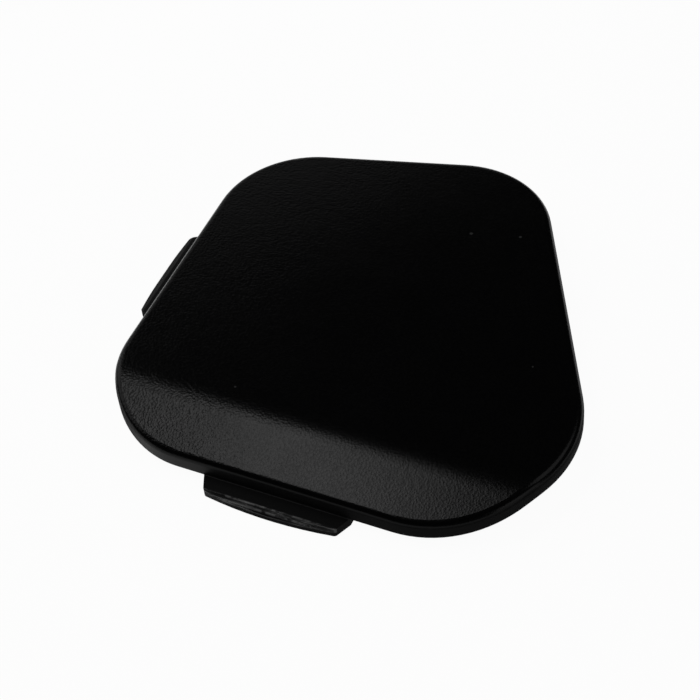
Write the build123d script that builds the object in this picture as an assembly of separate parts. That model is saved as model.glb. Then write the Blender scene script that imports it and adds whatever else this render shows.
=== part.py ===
from build123d import *
from math import cos, radians, sin, tan
import os

# Tow hook cover: one moulded plate with a turned edge, two tongues and two snap latches.
# X runs along the straight top edge of the face, Y up the face and Z out of the face.
# All lengths are in millimetres and all angles in degrees.

# Outline of the face, seen square on
face_height = 87.5           # from the top edge to the bottom edge, on the middle line
middle_width = 80.0          # between the sides, half way up
side_lean = 12.5             # each side leans in by this much towards the top
bottom_slant = 14.0          # the bottom edge falls by this much towards the right
top_corner_radius = 19.5
bottom_left_radius = 20.5
bottom_right_radius = 25.0

# Section of the plate
wall = 2.5                   # thickness of the plate
edge_height = 3.2            # height of the outer edge, which stands behind the plate as a rim
rim_width = 1.8              # thickness of that rim
edge_radius = 1.5            # rounding of the outer edge of the face
band_width = 12.0            # lower band, from the crease to the bottom edge, in plan
bend_angle = 18.0            # the band turns down by this much at the crease
bend_radius = 16.0           # soft rounding of the crease on the face

# Tongues that slide behind the bumper skin, at the left side and the bottom edge
tongue_thickness = 1.8
tongue_rise = 0.2            # the upper side lies this much above the foot of the rim
tongue_taper = 1.5           # each flank draws in by this much from the root to the tip
tongue_tip_radius = 0.8      # rounding of the two corners of the tip, in plan
tongue_root_radius = 0.3     # hollow between the rim and the upper side of a tongue
nose_width = 1.3             # the upper side slopes down to the tip over this width
nose_fall = 0.5              # and by this much
nose_radius = 0.3            # rounding of the two edges of that slope
bottom_tongue_width = 29.0   # at the root
bottom_tongue_reach = 4.3    # how far it stands out past the outline
bottom_tongue_bow = 1.0      # height of the curve of the tip
bottom_tongue_place = -8.5   # middle of the bottom tongue, along the bottom edge from the middle line
left_tongue_width = 24.6
left_tongue_reach = 3.25
left_tongue_bow = 0.6
left_tongue_place = 8.0      # middle of the left tongue, up the left side from half way up

# Snap latches at the right side and the top edge
latch_width = 12.0
latch_thickness = 1.6
latch_gap = 0.8              # free space between a latch and the rim
latch_catch = 0.4            # play between the rim and the catch of the barb
latch_land = 0.8             # flat end of the barb
latch_foot = 1.0             # thickness of the foot, below the slope that guides the latch in
right_latch_barb = 0.2       # how far the barb of the right latch stands out past the outline
right_latch_place = 6.0      # middle of the right latch, up the right side from half way up
top_latch_barb = 0.8
top_latch_place = 0.0        # middle of the top latch, along the top edge from the middle line

# Ribs behind the plate
rib_thickness = 1.4
rib_height = 1.4             # how far they stand out of the back of the plate
rib_spacing = 22.0
upright_rib_steps = (-1, 0, 1)     # places of the upright ribs, in spacings from the middle line
level_rib_steps = (-0.5, 0.5)      # places of the level ribs, in spacings from half way up

# Working sizes
spare = 10.0                 # how far the shapes that trim the plate run past it
overcut = 1.0                # how far the recess runs out of the open back
level_enough = 0.5           # a face whose normal rises by more than this is part of the show face
steep_enough = 0.1           # a face whose normal rises by less than this is part of the outer edge

half_height = face_height / 2
half_width = middle_width / 2
lean_rise = tan(radians(side_lean))
slant_fall = tan(radians(bottom_slant))
bend_fall = tan(radians(bend_angle))
reach = face_height + middle_width

# Depth of the face's edge, and of the rim under it, along the bottom edge
bottom_edge_depth = band_width * bend_fall
bottom_rim_depth = bottom_edge_depth + edge_height / cos(radians(bend_angle))
rest_depth = bottom_rim_depth - tongue_rise + tongue_thickness


def round_corner(sketch, corner, radius):
    """The sketch with its vertex nearest to the corner rounded."""
    nearest = sketch.vertices().sort_by_distance(Vector(*corner))[0]
    return fillet(nearest, radius)


def face_outline():
    """Outline of the face: a flat-topped shape with even sides and a slanting bottom edge."""
    top_x = half_width - half_height * lean_rise
    low_x = half_width + half_height * lean_rise
    right_x = low_x / (1 - slant_fall * lean_rise)
    left_x = -low_x / (1 + slant_fall * lean_rise)
    corners = [
        ((-top_x, half_height), top_corner_radius),
        ((top_x, half_height), top_corner_radius),
        ((right_x, -half_height - right_x * slant_fall), bottom_right_radius),
        ((left_x, -half_height - left_x * slant_fall), bottom_left_radius),
    ]
    outline = make_face(Polyline(*[point for point, radius in corners], close=True))
    for point, radius in corners:
        outline = round_corner(outline, point, radius)
    return outline


def upright(sketch):
    """A flat outline drawn out upwards and downwards past the whole cover."""
    return extrude(sketch, rest_depth + spare, both=True)


def bent_slab(upper_depth, lower_depth):
    """Everything between two depths under the face, measured square to it and following the crease."""
    downhill = Vector(-sin(radians(bottom_slant)), -cos(radians(bottom_slant)), 0)
    section_plane = Plane(
        origin=(0, -half_height, 0),
        x_dir=downhill,
        z_dir=downhill.cross(Vector(0, 0, 1)),
    )
    band_length = band_width + spare

    def section_points(depth):
        crease = (-band_width - depth * tan(radians(bend_angle / 2)), -depth)
        far_end = (crease[0] - reach, -depth)
        band_end = (
            crease[0] + band_length * cos(radians(bend_angle)),
            -depth - band_length * sin(radians(bend_angle)),
        )
        return far_end, crease, band_end

    upper = section_points(upper_depth)
    lower = section_points(lower_depth)
    section = make_face(Polyline(*upper, *reversed(lower), close=True))
    section = round_corner(section, upper[1], bend_radius - upper_depth)
    section = round_corner(section, lower[1], bend_radius - lower_depth)
    return extrude(section_plane * section, reach, both=True)


def side_frame(foot, outward_angle, along):
    """A frame on one side of the outline: x along the side, y outwards, z up.

    The foot is a point of the side, and along is the distance from it, anticlockwise round the face.
    """
    outward = Vector(cos(radians(outward_angle)), sin(radians(outward_angle)), 0)
    round_face = Vector(0, 0, 1).cross(outward)
    return Location(Plane(Vector(*foot) + round_face * along, x_dir=-round_face, z_dir=(0, 0, 1)))


def plate(outline):
    """The bent plate with its rounded outer edge and the rim round its back."""
    body = bent_slab(0, edge_height) & upright(outline)
    upper_faces = body.faces().filter_by(lambda face: face.normal_at().Z > level_enough)
    edge_faces = body.faces().filter_by(lambda face: abs(face.normal_at().Z) < steep_enough)
    body = fillet(upper_faces.edges() & edge_faces.edges(), edge_radius)
    recess = bent_slab(wall, edge_height + overcut) & upright(offset(outline, -rim_width))
    return body - recess


def ribs(outline):
    """A low grid of ribs behind the plate, ending in the rim."""
    upright_rib = Rectangle(rib_thickness, reach)
    level_rib = Rectangle(reach, rib_thickness)
    upright_ribs = [Pos(step * rib_spacing, 0) * upright_rib for step in upright_rib_steps]
    level_ribs = [Pos(0, step * rib_spacing) * level_rib for step in level_rib_steps]
    grid = Sketch() + upright_ribs + level_ribs
    field = offset(outline, -rim_width / 2)
    return bent_slab(wall / 2, wall + rib_height) & upright(grid & field)


def tongue(frame, root_width, tip_reach, tip_bow, rim_depth):
    """A tongue under the rim: hollow at its root, with a blunt sloping nose and drawn-in flanks."""
    upper_depth = rim_depth - tongue_rise
    lower_depth = upper_depth + tongue_thickness
    root_depth = upper_depth - tongue_root_radius
    root_start = (0, -root_depth)
    root_end = (tongue_root_radius, -upper_depth)
    nose_top = (tip_reach - nose_width, -upper_depth)
    nose_foot = (tip_reach, -upper_depth - nose_fall)
    section = make_face(
        Line((-rim_width, -root_depth), root_start)
        + RadiusArc(root_start, root_end, -tongue_root_radius)
        + Polyline(
            root_end,
            nose_top,
            nose_foot,
            (tip_reach, -lower_depth),
            (-rim_width, -lower_depth),
            (-rim_width, -root_depth),
        )
    )
    section = round_corner(section, nose_top, nose_radius)
    section = round_corner(section, nose_foot, nose_radius)
    along_side = extrude(Plane.YZ * section, root_width, both=True)

    half_root = root_width / 2
    half_tip = half_root - tongue_taper
    flank_end = tip_reach - tip_bow
    form = make_face(
        Polyline((half_tip, flank_end), (half_root, 0), (half_root, -rim_width))
        + Line((half_root, -rim_width), (-half_root, -rim_width))
        + Polyline((-half_root, -rim_width), (-half_root, 0), (-half_tip, flank_end))
        + ThreePointArc((-half_tip, flank_end), (0, tip_reach), (half_tip, flank_end))
    )
    for side in (-1, 1):
        form = round_corner(form, (side * half_tip, flank_end), tongue_tip_radius)
    return frame * (along_side & upright(form))


def latch(frame, barb):
    """A springy leg inside the rim with a barb that catches behind the bumper skin."""
    leg_outer = -rim_width - latch_gap
    leg_inner = leg_outer - latch_thickness
    catch_depth = edge_height + latch_catch
    section = make_face(
        Polyline(
            (leg_inner, -wall / 2),
            (leg_outer, -wall / 2),
            (leg_outer, -catch_depth),
            (barb, -catch_depth),
            (barb, -catch_depth - latch_land),
            (leg_inner + latch_foot, -rest_depth),
            (leg_inner, -rest_depth),
            close=True,
        )
    )
    return frame * extrude(Plane.YZ * section, latch_width / 2, both=True)


def tow_hook_cover():
    """The whole moulding, resting on its bottom tongue and its latches."""
    outline = face_outline()
    left_side = side_frame((-half_width, 0), 180 - side_lean, -left_tongue_place)
    right_side = side_frame((half_width, 0), side_lean, right_latch_place)
    top_edge = side_frame((0, half_height), 90, -top_latch_place)
    bottom_edge = side_frame((0, -half_height), 270 - bottom_slant, bottom_tongue_place)
    cover = plate(outline) + ribs(outline)
    cover += tongue(left_side, left_tongue_width, left_tongue_reach, left_tongue_bow, edge_height)
    cover += tongue(
        bottom_edge, bottom_tongue_width, bottom_tongue_reach, bottom_tongue_bow, bottom_rim_depth
    )
    cover += latch(right_side, right_latch_barb)
    cover += latch(top_edge, top_latch_barb)
    box = cover.bounding_box()
    return Pos(-box.center().X, -box.center().Y, -box.min.Z) * cover


cover = tow_hook_cover()
cover.label = "cover"
os.makedirs("parts", exist_ok=True)
export_step(cover, "parts/cover.step")
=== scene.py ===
"""Tow hook cover in grained black plastic, lying face up on a pale floor under soft light."""
import math

import bpy
from mathutils import Matrix, Vector


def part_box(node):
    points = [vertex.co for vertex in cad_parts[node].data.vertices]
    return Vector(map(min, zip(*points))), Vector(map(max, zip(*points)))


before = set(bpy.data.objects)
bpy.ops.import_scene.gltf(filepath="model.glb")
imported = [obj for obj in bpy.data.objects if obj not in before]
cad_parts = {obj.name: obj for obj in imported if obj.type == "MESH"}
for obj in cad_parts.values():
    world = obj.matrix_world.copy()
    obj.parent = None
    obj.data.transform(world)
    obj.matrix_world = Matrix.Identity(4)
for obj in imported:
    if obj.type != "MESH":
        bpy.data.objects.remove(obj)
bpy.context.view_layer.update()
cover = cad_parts["cover"]
cover_high = Vector(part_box("cover")[1])
MM = 0.001
WHITE = (1, 1, 1, 1)


# Camera

PICTURE_PIXELS = 700
SENSOR_WIDTH = 36.0
CAMERA_ELEVATION = math.radians(46.0)
CAMERA_AZIMUTH = math.radians(14.63)
CAMERA_ROLL = math.radians(-6.25)
CAMERA_DISTANCE = 320 * MM
FOCAL_PIXELS = 1723.5
NEAREST_SEEN = 10 * MM
LOOK_AT = Vector((-0.30 * MM, -9.81 * MM, cover_high.z))


def add_camera():
    """A camera that looks down on the cover from the front, a little from the right and slightly rolled."""
    towards_camera = Vector((
        math.sin(CAMERA_AZIMUTH) * math.cos(CAMERA_ELEVATION),
        -math.cos(CAMERA_AZIMUTH) * math.cos(CAMERA_ELEVATION),
        math.sin(CAMERA_ELEVATION),
    ))
    data = bpy.data.cameras.new("camera")
    data.sensor_width = SENSOR_WIDTH
    data.lens = FOCAL_PIXELS / PICTURE_PIXELS * SENSOR_WIDTH
    data.clip_start = NEAREST_SEEN
    camera = bpy.data.objects.new("camera", data)
    level = towards_camera.to_track_quat("Z", "Y").to_matrix()
    roll = Matrix.Rotation(CAMERA_ROLL, 3, "Z")
    place = Matrix.Translation(LOOK_AT + towards_camera * CAMERA_DISTANCE)
    camera.matrix_world = place @ (level @ roll).to_4x4()
    bpy.context.scene.collection.objects.link(camera)
    bpy.context.scene.camera = camera


# Floor and light

FLOOR_WIDTH = 3.0
FLOOR_COLOUR = (0.92, 0.92, 0.92, 1)
FLOOR_ROUGHNESS = 0.9
FLOOR_WHITE_SHARE = 0.96     # the rest is lit paint, which keeps the cover's shadow
ROOM_LIGHT = 0.01
MIDDLE = (0, 0, 0)


def add_floor():
    """A wide pale floor that shows white to the camera and keeps the cover's shadow."""
    bpy.ops.mesh.primitive_plane_add(size=FLOOR_WIDTH)
    floor = bpy.context.object
    floor.name = "floor"
    material = bpy.data.materials.new("pale_floor")
    material.use_nodes = True
    nodes = material.node_tree.nodes
    links = material.node_tree.links
    paint = nodes["Principled BSDF"]
    paint.inputs["Base Color"].default_value = FLOOR_COLOUR
    paint.inputs["Roughness"].default_value = FLOOR_ROUGHNESS
    paint.inputs["Specular IOR Level"].default_value = 0.0
    white = nodes.new("ShaderNodeEmission")
    white.inputs["Color"].default_value = WHITE
    white.inputs["Strength"].default_value = 1.0
    path = nodes.new("ShaderNodeLightPath")
    seen = path.outputs["Is Camera Ray"]
    for ray in ("Is Glossy Ray", "Is Transmission Ray"):
        either = nodes.new("ShaderNodeMath")
        either.operation = "MAXIMUM"
        links.new(seen, either.inputs[0])
        links.new(path.outputs[ray], either.inputs[1])
        seen = either.outputs[0]
    share = nodes.new("ShaderNodeMath")
    share.operation = "MULTIPLY"
    share.inputs[1].default_value = FLOOR_WHITE_SHARE
    links.new(seen, share.inputs[0])
    mix = nodes.new("ShaderNodeMixShader")
    links.new(share.outputs[0], mix.inputs["Fac"])
    links.new(paint.outputs["BSDF"], mix.inputs[1])
    links.new(white.outputs["Emission"], mix.inputs[2])
    links.new(mix.outputs["Shader"], nodes["Material Output"].inputs["Surface"])
    floor.data.materials.append(material)


def add_softbox(name, place, aim, width, depth, brightness):
    """A rectangular soft light of even brightness, which the camera itself doesn't see."""
    data = bpy.data.lights.new(name, "AREA")
    data.shape = "RECTANGLE"
    data.size = width
    data.size_y = depth
    data.energy = brightness * math.pi * width * depth
    light = bpy.data.objects.new(name, data)
    light.location = place
    light.rotation_euler = (Vector(place) - Vector(aim)).to_track_quat("Z", "Y").to_euler()
    light.visible_camera = False
    bpy.context.scene.collection.objects.link(light)


def add_lights():
    """Soft lights overhead, at both sides and low in front, a white card close behind, and a dim room."""
    # The lower band mirrors this one
    add_softbox(
        "overhead_softbox",
        place=(-0.36, 0.055, 0.9), aim=(-0.36, 0.055, 0), width=0.26, depth=0.38, brightness=6.0,
    )
    add_softbox(
        "left_softbox",
        place=(-1.0, 0.25, 0.75), aim=MIDDLE, width=1.1, depth=0.8, brightness=1.5,
    )
    add_softbox(
        "right_softbox",
        place=(0.6, 0.25, 0.9), aim=MIDDLE, width=0.7, depth=0.6, brightness=1.2,
    )
    # This one draws the right edge, and shows the face from behind
    add_softbox(
        "low_softbox",
        place=(0.8, -0.6, 0.35), aim=MIDDLE, width=0.9, depth=0.5, brightness=1.2,
    )
    # The upper left of the face mirrors the card
    add_softbox(
        "white_card",
        place=(-0.10, 0.11, 0.0625), aim=(-0.04, 0.03, 0.0625), width=0.3, depth=0.085, brightness=0.45,
    )
    world = bpy.data.worlds.new("room")
    world.use_nodes = True
    background = world.node_tree.nodes["Background"]
    background.inputs["Color"].default_value = WHITE
    background.inputs["Strength"].default_value = ROOM_LIGHT
    bpy.context.scene.world = world


# Places on the cover
# The face is level down to the crease, and from there the lower band falls away towards the bottom edge.
# Places along the bottom edge run to the right, and places down the band start at the crease.

BAND_SLANT = math.radians(14.0)
BAND_BEND = math.radians(18.0)
BAND_WIDTH = 12 * MM
CREASE_POINT = Vector((-0.60 * MM, -29.65 * MM, 0))
DOWNHILL = Vector((-math.sin(BAND_SLANT), -math.cos(BAND_SLANT), 0))
ALONG_EDGE = Vector((math.cos(BAND_SLANT), -math.sin(BAND_SLANT), 0))
NOSE_START_FADE = (BAND_WIDTH + 2.7 * MM, BAND_WIDTH + 3.1 * MM)     # down the band
NOSE_FOOT_FADE = (0.8 * MM, 1.1 * MM)                # height above the floor
WALL_LEVEL = (0.25, 0.75)                            # how level a surface is, from wall to flat

# Plastic

BLACK = (0.0015, 0.0015, 0.0016, 1)
PLASTIC_IOR = 1.46
PLASTIC_SPECULAR = 0.12

# Grain of the face, even and shallow to the right
PEBBLE_SIZE = 0.42 * MM
PEBBLE_HEIGHT = 0.045 * MM
PEBBLE_SOFTNESS = 0.35
LUMP_SIZE = 2.0 * MM
LUMP_SHARE = 0.6
FINE_GRAIN_SIZE = 0.16 * MM
FINE_GRAIN_HEIGHT = 0.004 * MM
FINE_GRAIN_SHARE = 0.6
GRAIN_FADE = (0.1 * MM, 0.6 * MM)                    # depth under the face
GRAIN_EASE = (-30 * MM, 15 * MM)                     # along the bottom edge
EASED_GRAIN = 0.28

# Shine of the face, and of the satin edge, whose wall is dull at both ends
FACE_ROUGHNESS = (0.185, 0.21)
SHINE_PATCH_SIZE = 9.0 * MM
SHINE_PATCH_DETAIL = 4.0
SHINE_PATCH_LEVELS = (0.3, 0.7)
PEBBLE_GAP_LEVELS = (0.3, 0.7)
PEBBLE_GAP_ROUGHNESS = 0.06
SATIN = 0.42
DULL = 0.9
DULL_FADE = (0.25 * MM, 0.95 * MM)                   # depth under the face
LEFT_WALL_DULLING = (-36 * MM, -24 * MM)             # along the bottom edge
RIGHT_WALL_DULLING = (-20 * MM, 0 * MM)

# Lighter grey on the nose of the lower tongue: scratches, partly wear and partly painted highlight, and two
# painted highlight lines along its edges that come and go
WORN_AND_HIGHLIGHT_GREY = (0.075, 0.075, 0.075, 1)
SCRATCH_LENGTH = 5 * MM
SCRATCH_WIDTH = 0.22 * MM
SCRATCH_HEIGHT = 0.05 * MM
SCRATCH_SHARE = 0.7
SCRATCH_LEVELS = (0.56, 0.70)
NOSE_ROUGHNESS = (0.75, 0.2)                         # between the streaks, and on them
NOSE_STREAK_LEVELS = (0.44, 0.60)
PAINTED_HIGHLIGHT_LINES = (BAND_WIDTH + 3.12 * MM, BAND_WIDTH + 3.85 * MM)      # down the band
HIGHLIGHT_LINE_FADE = (0.10 * MM, 0.26 * MM)            # distance from the middle of a line
HIGHLIGHT_LINE_START = (-14.5 * MM, -11.5 * MM)         # along the bottom edge
HIGHLIGHT_PATCH_SIZE = 1.8 * MM
HIGHLIGHT_PATCH_LEVELS = (0.40, 0.56)

# Specks of dust on the face: place and radius
DUST_GREY = (0.03, 0.03, 0.03, 1)
SPECK_CORE = 0.4                                     # share of the radius that is full grey
SPECK_HEIGHT = 8.86                                  # in millimetres, as the places below
DUST_SPECKS = (
    (Vector((18.0, 24.0, SPECK_HEIGHT)) * MM, 0.45 * MM),
    (Vector((27.7, 23.9, SPECK_HEIGHT)) * MM, 0.4 * MM),
    (Vector((-19.7, -21.2, SPECK_HEIGHT)) * MM, 0.3 * MM),
    (Vector((33.7, -10.5, SPECK_HEIGHT)) * MM, 0.25 * MM),
)


class Shader:
    """Short names for adding and linking the nodes of one material."""

    def __init__(self, name):
        self.material = bpy.data.materials.new(name)
        self.material.use_nodes = True
        self.tree = self.material.node_tree
        self.surface = self.tree.nodes["Principled BSDF"]

    def feed(self, socket, value):
        """Links an output to a socket, or sets the socket to a fixed value."""
        if isinstance(value, bpy.types.NodeSocket):
            self.tree.links.new(value, socket)
        else:
            socket.default_value = value

    def coordinates(self, name):
        """A place or direction in the cover's own frame."""
        return self.tree.nodes.new("ShaderNodeTexCoord").outputs[name]

    def height_of(self, vector):
        """The upward part of a place or direction."""
        node = self.tree.nodes.new("ShaderNodeSeparateXYZ")
        self.feed(node.inputs[0], vector)
        return node.outputs["Z"]

    def math(self, operation, *values):
        """One sum of plain numbers."""
        node = self.tree.nodes.new("ShaderNodeMath")
        node.operation = operation
        for socket, value in zip(node.inputs, values):
            self.feed(socket, value)
        return node.outputs[0]

    def vector(self, operation, first, second, result="Vector"):
        """One sum of two places or directions."""
        node = self.tree.nodes.new("ShaderNodeVectorMath")
        node.operation = operation
        self.feed(node.inputs[0], first)
        self.feed(node.inputs[1], second)
        return node.outputs[result]

    def ramp(self, value, low, high, start=0.0, end=1.0):
        """A smooth step from one level to another, as the value goes from low to high."""
        node = self.tree.nodes.new("ShaderNodeMapRange")
        node.interpolation_type = "SMOOTHSTEP"
        self.feed(node.inputs["Value"], value)
        self.feed(node.inputs["From Min"], low)
        self.feed(node.inputs["From Max"], high)
        self.feed(node.inputs["To Min"], start)
        self.feed(node.inputs["To Max"], end)
        return node.outputs["Result"]

    def noise(self, place, size, detail=3.0):
        """Soft blotches of about the given size."""
        node = self.tree.nodes.new("ShaderNodeTexNoise")
        self.feed(node.inputs["Vector"], place)
        node.inputs["Scale"].default_value = 1 / size
        node.inputs["Detail"].default_value = detail
        return node.outputs["Fac"]

    def pebbles(self, place, size):
        """Distance from the middle of the nearest of many rounded pebbles."""
        node = self.tree.nodes.new("ShaderNodeTexVoronoi")
        node.feature = "SMOOTH_F1"
        self.feed(node.inputs["Vector"], place)
        node.inputs["Scale"].default_value = 1 / size
        node.inputs["Smoothness"].default_value = PEBBLE_SOFTNESS
        return node.outputs["Distance"]

    def bump(self, height, distance, strength, normal=None):
        """The surface's direction, with small heights added to it."""
        node = self.tree.nodes.new("ShaderNodeBump")
        node.inputs["Distance"].default_value = distance
        self.feed(node.inputs["Strength"], strength)
        self.feed(node.inputs["Height"], height)
        if normal is not None:
            self.feed(node.inputs["Normal"], normal)
        return node.outputs["Normal"]

    def mix(self, share, first, second):
        """A share of the second colour over the first."""
        node = self.tree.nodes.new("ShaderNodeMix")
        node.data_type = "RGBA"
        # A mix node's colour sockets share their names with others, so they go by number
        self.feed(node.inputs[0], share)
        self.feed(node.inputs[6], first)
        self.feed(node.inputs[7], second)
        return node.outputs[2]


def black_plastic():
    """Black moulded plastic: pebbled on the face, satin and dull on the edge, scratched and with painted
    highlight lines on the lower tongue.
    """
    shader = Shader("grained_black_plastic")
    place = shader.coordinates("Object")
    height = shader.height_of(place)

    # Place along the bottom edge and down the band, and depth under the face
    along = shader.vector("DOT_PRODUCT", place, ALONG_EDGE, "Value")
    from_crease = shader.vector("SUBTRACT", place, CREASE_POINT)
    down_band = shader.vector("DOT_PRODUCT", from_crease, DOWNHILL, "Value")
    fall = shader.math("MULTIPLY", shader.math("MAXIMUM", down_band, 0.0), math.tan(BAND_BEND))
    face_height = shader.math("SUBTRACT", cover_high.z, fall)
    depth = shader.math("SUBTRACT", face_height, height)
    on_face = shader.ramp(depth, *GRAIN_FADE, 1.0, 0.0)
    past_root = shader.ramp(down_band, *NOSE_START_FADE)
    above_end = shader.ramp(height, *NOSE_FOOT_FADE)
    on_nose = shader.math("MULTIPLY", past_root, above_end)
    off_nose = shader.math("SUBTRACT", 1.0, on_nose)

    # Grain
    lumps = shader.noise(place, LUMP_SIZE)
    pebble = shader.pebbles(place, PEBBLE_SIZE)
    fine = shader.noise(place, FINE_GRAIN_SIZE)
    pebble_height = shader.math("SUBTRACT", shader.math("MULTIPLY", lumps, LUMP_SHARE), pebble)
    grain_share = shader.math("MULTIPLY", on_face, shader.ramp(along, *GRAIN_EASE, 1.0, EASED_GRAIN))
    normal = shader.bump(pebble_height, PEBBLE_HEIGHT, grain_share)
    normal = shader.bump(fine, FINE_GRAIN_HEIGHT, FINE_GRAIN_SHARE, normal)

    # Scratches, partly wear and partly painted highlight, and two painted highlight lines along the nose of
    # the lower tongue
    streak_place = shader.tree.nodes.new("ShaderNodeCombineXYZ")
    shader.feed(streak_place.inputs["X"], shader.math("DIVIDE", along, SCRATCH_LENGTH))
    shader.feed(streak_place.inputs["Y"], shader.math("DIVIDE", down_band, SCRATCH_WIDTH))
    shader.feed(streak_place.inputs["Z"], shader.math("DIVIDE", height, SCRATCH_WIDTH))
    # This place is counted in scratch lengths and widths, so one blotch of it is one scratch
    streaks = shader.noise(streak_place.outputs[0], size=1.0)
    wear_and_painted_highlights = shader.ramp(streaks, *SCRATCH_LEVELS)
    highlight_share = shader.ramp(shader.noise(place, HIGHLIGHT_PATCH_SIZE), *HIGHLIGHT_PATCH_LEVELS)
    highlight_share = shader.math("MULTIPLY", highlight_share, shader.ramp(along, *HIGHLIGHT_LINE_START))
    # Painted highlights: two lighter grey lines where the nose's edges catch the light
    for highlight_line_place in PAINTED_HIGHLIGHT_LINES:
        off_highlight_line = shader.math("ABSOLUTE", shader.math("SUBTRACT", down_band, highlight_line_place))
        on_highlight_line = shader.ramp(off_highlight_line, *HIGHLIGHT_LINE_FADE, 1.0, 0.0)
        wear_and_painted_highlights = shader.math("MAXIMUM", wear_and_painted_highlights, shader.math("MULTIPLY", on_highlight_line, highlight_share))
    wear_and_painted_highlights = shader.math("MULTIPLY", wear_and_painted_highlights, on_nose)
    normal = shader.bump(wear_and_painted_highlights, SCRATCH_HEIGHT, SCRATCH_SHARE, normal)
    shader.feed(shader.surface.inputs["Normal"], normal)

    # Shine
    shine_patches = shader.noise(place, SHINE_PATCH_SIZE, SHINE_PATCH_DETAIL)
    face_rough = shader.ramp(shine_patches, *SHINE_PATCH_LEVELS, *FACE_ROUGHNESS)
    pebble_gaps = shader.ramp(pebble, *PEBBLE_GAP_LEVELS)
    face_rough = shader.math("ADD", face_rough, shader.math("MULTIPLY", pebble_gaps, PEBBLE_GAP_ROUGHNESS))
    level = shader.math("ABSOLUTE", shader.height_of(shader.coordinates("Normal")))
    on_wall = shader.ramp(level, *WALL_LEVEL, 1.0, 0.0)
    left_rough = shader.ramp(along, *LEFT_WALL_DULLING, DULL, SATIN)
    right_rough = shader.ramp(along, *RIGHT_WALL_DULLING, SATIN, DULL)
    wall_rough = shader.math("MAXIMUM", left_rough, right_rough)
    edge_rough = shader.math("MULTIPLY_ADD", on_wall, shader.math("SUBTRACT", wall_rough, SATIN), SATIN)
    edge_rough = shader.math("MULTIPLY", edge_rough, shader.ramp(depth, *DULL_FADE))
    nose_rough = shader.ramp(streaks, *NOSE_STREAK_LEVELS, *NOSE_ROUGHNESS)
    nose_rough = shader.math("MULTIPLY", on_nose, nose_rough)
    edge_rough = shader.math("MULTIPLY_ADD", off_nose, edge_rough, nose_rough)
    shader.feed(shader.surface.inputs["Roughness"], shader.math("MAXIMUM", face_rough, edge_rough))
    shader.surface.inputs["IOR"].default_value = PLASTIC_IOR
    shader.surface.inputs["Specular IOR Level"].default_value = PLASTIC_SPECULAR

    # Colour, with the scratches, the painted highlight lines and a few specks of dust
    colour = shader.mix(wear_and_painted_highlights, BLACK, WORN_AND_HIGHLIGHT_GREY)
    for middle, radius in DUST_SPECKS:
        away = shader.vector("DISTANCE", place, middle, "Value")
        colour = shader.mix(shader.ramp(away, SPECK_CORE * radius, radius, 1.0, 0.0), colour, DUST_GREY)
    shader.feed(shader.surface.inputs["Base Color"], colour)
    return shader.material


cover.data.materials.clear()
cover.data.materials.append(black_plastic())
add_camera()
add_floor()
add_lights()

bpy.context.scene.view_settings.view_transform = "Standard"
